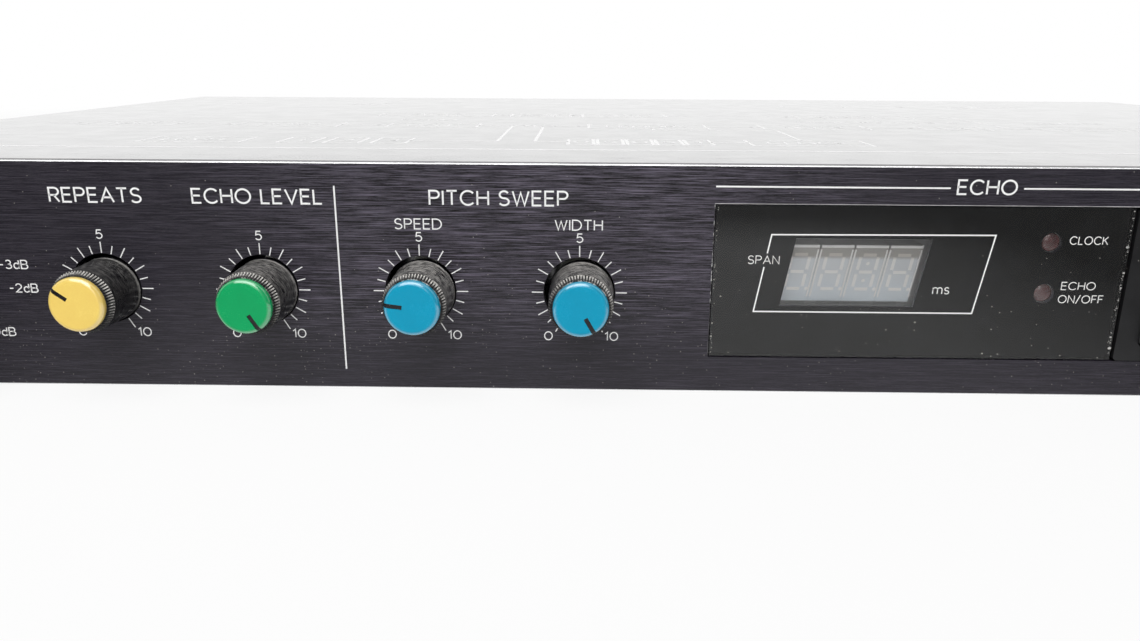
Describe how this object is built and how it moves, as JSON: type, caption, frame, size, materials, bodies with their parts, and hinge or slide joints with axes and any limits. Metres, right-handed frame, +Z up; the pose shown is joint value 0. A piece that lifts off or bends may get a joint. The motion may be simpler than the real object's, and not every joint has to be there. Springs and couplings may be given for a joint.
{
  "type": "rackmount delay unit",
  "caption": "Slim rack unit with ribbed rotary knobs, a smoked display window, push keys and rear phone jacks, for delaying and modulating an audio signal.",
  "frame": {"origin": "centre of the four rack slots, on the rear face of the front panel, where the rack rails bear", "axes": "+X to the right seen from the front, +Y to the rear, +Z up"},
  "size_m": [0.4826, 0.2819, 0.0436],
  "materials": {
    "panel_black": "black anodised aluminium, brushed along its length",
    "case_black": "black satin paint on sheet steel",
    "bracket_black": "black plated sheet steel",
    "screw_black": "black plated screws",
    "zinc": "zinc plated steel",
    "nickel": "nickel plated brass",
    "brass": "plain brass",
    "knob_black": "black moulded plastic, fine ribs near the front",
    "cap_red": "satin red plastic",
    "cap_yellow": "satin yellow plastic",
    "cap_green": "satin green plastic",
    "cap_blue": "satin blue plastic",
    "shaft_metal": "turned aluminium",
    "pot_steel": "pressed steel can",
    "board_green": "green solder mask on glass fibre board",
    "smoked_lens": "smoked acrylic, glossy",
    "mask_black": "black film",
    "digit_face": "pale grey display face",
    "lamp_red": "unlit red lamp lens",
    "bezel_black": "black moulded plastic",
    "key_grey": "dark grey moulded plastic",
    "button_black": "black moulded plastic",
    "switch_black": "black switch housing",
    "chip_black": "black epoxy",
    "can_blue": "blue sleeve",
    "ribbon_grey": "grey flat cable",
    "core_steel": "laminated steel core",
    "coil_tape": "coil under tape",
    "jack_black": "black moulded plastic",
    "slider_white": "white plastic grip"
  },
  "bodies": {
    "case": {"front_panel": "panel_black", "panel_nuts": "zinc", "front_bracket": "bracket_black", "chassis_tray": "case_black", "rear_panel": "case_black", "top_cover": "case_black", "cover_screws": "screw_black", "chassis_screws": "zinc", "potentiometers": "pot_steel", "pot_nuts": "zinc", "control_board": "board_green", "display_lens": "smoked_lens", "display_mask": "mask_black", "digit_modules": "digit_face", "status_leds": "lamp_red", "key_bezel": "bezel_black", "key_switches": "switch_black", "panel_boards": "board_green", "board_standoffs": "brass", "indicator_leds": "lamp_red", "meter_leds": "lamp_red", "power_switch": "switch_black", "main_board": "board_green", "chips": "chip_black", "capacitors": "can_blue", "ribbon_cable": "ribbon_grey", "transformer_core": "core_steel", "transformer_coil": "coil_tape", "regulators": "chip_black", "jacks": "jack_black", "jack_nuts": "nickel", "slide_switches": "switch_black", "mains_inlet": "jack_black", "mains_pins": "nickel"},
    "level_dial": {"level_knob": "knob_black", "level_cap": "cap_red", "level_shaft": "shaft_metal"},
    "feedback_dial": {"feedback_knob": "knob_black", "feedback_cap": "cap_yellow", "feedback_shaft": "shaft_metal"},
    "echo_dial": {"echo_knob": "knob_black", "echo_cap": "cap_green", "echo_shaft": "shaft_metal"},
    "rate_dial": {"rate_knob": "knob_black", "rate_cap": "cap_blue", "rate_shaft": "shaft_metal"},
    "depth_dial": {"depth_knob": "knob_black", "depth_cap": "cap_blue", "depth_shaft": "shaft_metal"},
    "time_up": {"time_up_key": "key_grey"},
    "time_down": {"time_down_key": "key_grey"},
    "memory_1": {"memory_key_1": "key_grey"},
    "memory_2": {"memory_key_2": "key_grey"},
    "memory_3": {"memory_key_3": "key_grey"},
    "memory_4": {"memory_key_4": "key_grey"},
    "hold": {"hold_key": "key_grey"},
    "power": {"power_button": "button_black"},
    "input_switch": {"input_slider": "slider_white"},
    "output_switch": {"output_slider": "slider_white"}
  },
  "joints": [
    {"name": "level_turn", "type": "hinge", "parent": "case", "child": "level_dial", "pos_m": [-0.15145, 0, -0.0024], "axis": [0, 1, 0], "range_deg": [-210, 90]},
    {"name": "feedback_turn", "type": "hinge", "parent": "case", "child": "feedback_dial", "pos_m": [-0.12145, 0, -0.0024], "axis": [0, 1, 0], "range_deg": [-96, 204]},
    {"name": "echo_turn", "type": "hinge", "parent": "case", "child": "echo_dial", "pos_m": [-0.09145, 0, -0.0024], "axis": [0, 1, 0], "range_deg": [-299, 1]},
    {"name": "rate_turn", "type": "hinge", "parent": "case", "child": "rate_dial", "pos_m": [-0.06145, 0, -0.0024], "axis": [0, 1, 0], "range_deg": [-67, 233]},
    {"name": "depth_turn", "type": "hinge", "parent": "case", "child": "depth_dial", "pos_m": [-0.03145, 0, -0.0024], "axis": [0, 1, 0], "range_deg": [-300, 0]},
    {"name": "time_up_press", "type": "slide", "parent": "case", "child": "time_up", "axis": [0, 1, 0], "range_m": [0, 0.0005], "stiffness_N_per_m": 1500},
    {"name": "time_down_press", "type": "slide", "parent": "case", "child": "time_down", "axis": [0, 1, 0], "range_m": [0, 0.0005], "stiffness_N_per_m": 1500},
    {"name": "memory_1_press", "type": "slide", "parent": "case", "child": "memory_1", "axis": [0, 1, 0], "range_m": [0, 0.0005], "stiffness_N_per_m": 1500},
    {"name": "memory_2_press", "type": "slide", "parent": "case", "child": "memory_2", "axis": [0, 1, 0], "range_m": [0, 0.0005], "stiffness_N_per_m": 1500},
    {"name": "memory_3_press", "type": "slide", "parent": "case", "child": "memory_3", "axis": [0, 1, 0], "range_m": [0, 0.0005], "stiffness_N_per_m": 1500},
    {"name": "memory_4_press", "type": "slide", "parent": "case", "child": "memory_4", "axis": [0, 1, 0], "range_m": [0, 0.0005], "stiffness_N_per_m": 1500},
    {"name": "hold_press", "type": "slide", "parent": "case", "child": "hold", "axis": [0, 1, 0], "range_m": [0, 0.0005], "stiffness_N_per_m": 1500},
    {"name": "power_press", "type": "slide", "parent": "case", "child": "power", "axis": [0, 1, 0], "range_m": [0, 0.003], "stiffness_N_per_m": 600},
    {"name": "input_slide", "type": "slide", "parent": "case", "child": "input_switch", "axis": [1, 0, 0], "range_m": [0, 0.004]},
    {"name": "output_slide", "type": "slide", "parent": "case", "child": "output_switch", "axis": [1, 0, 0], "range_m": [0, 0.004]}
  ]
}
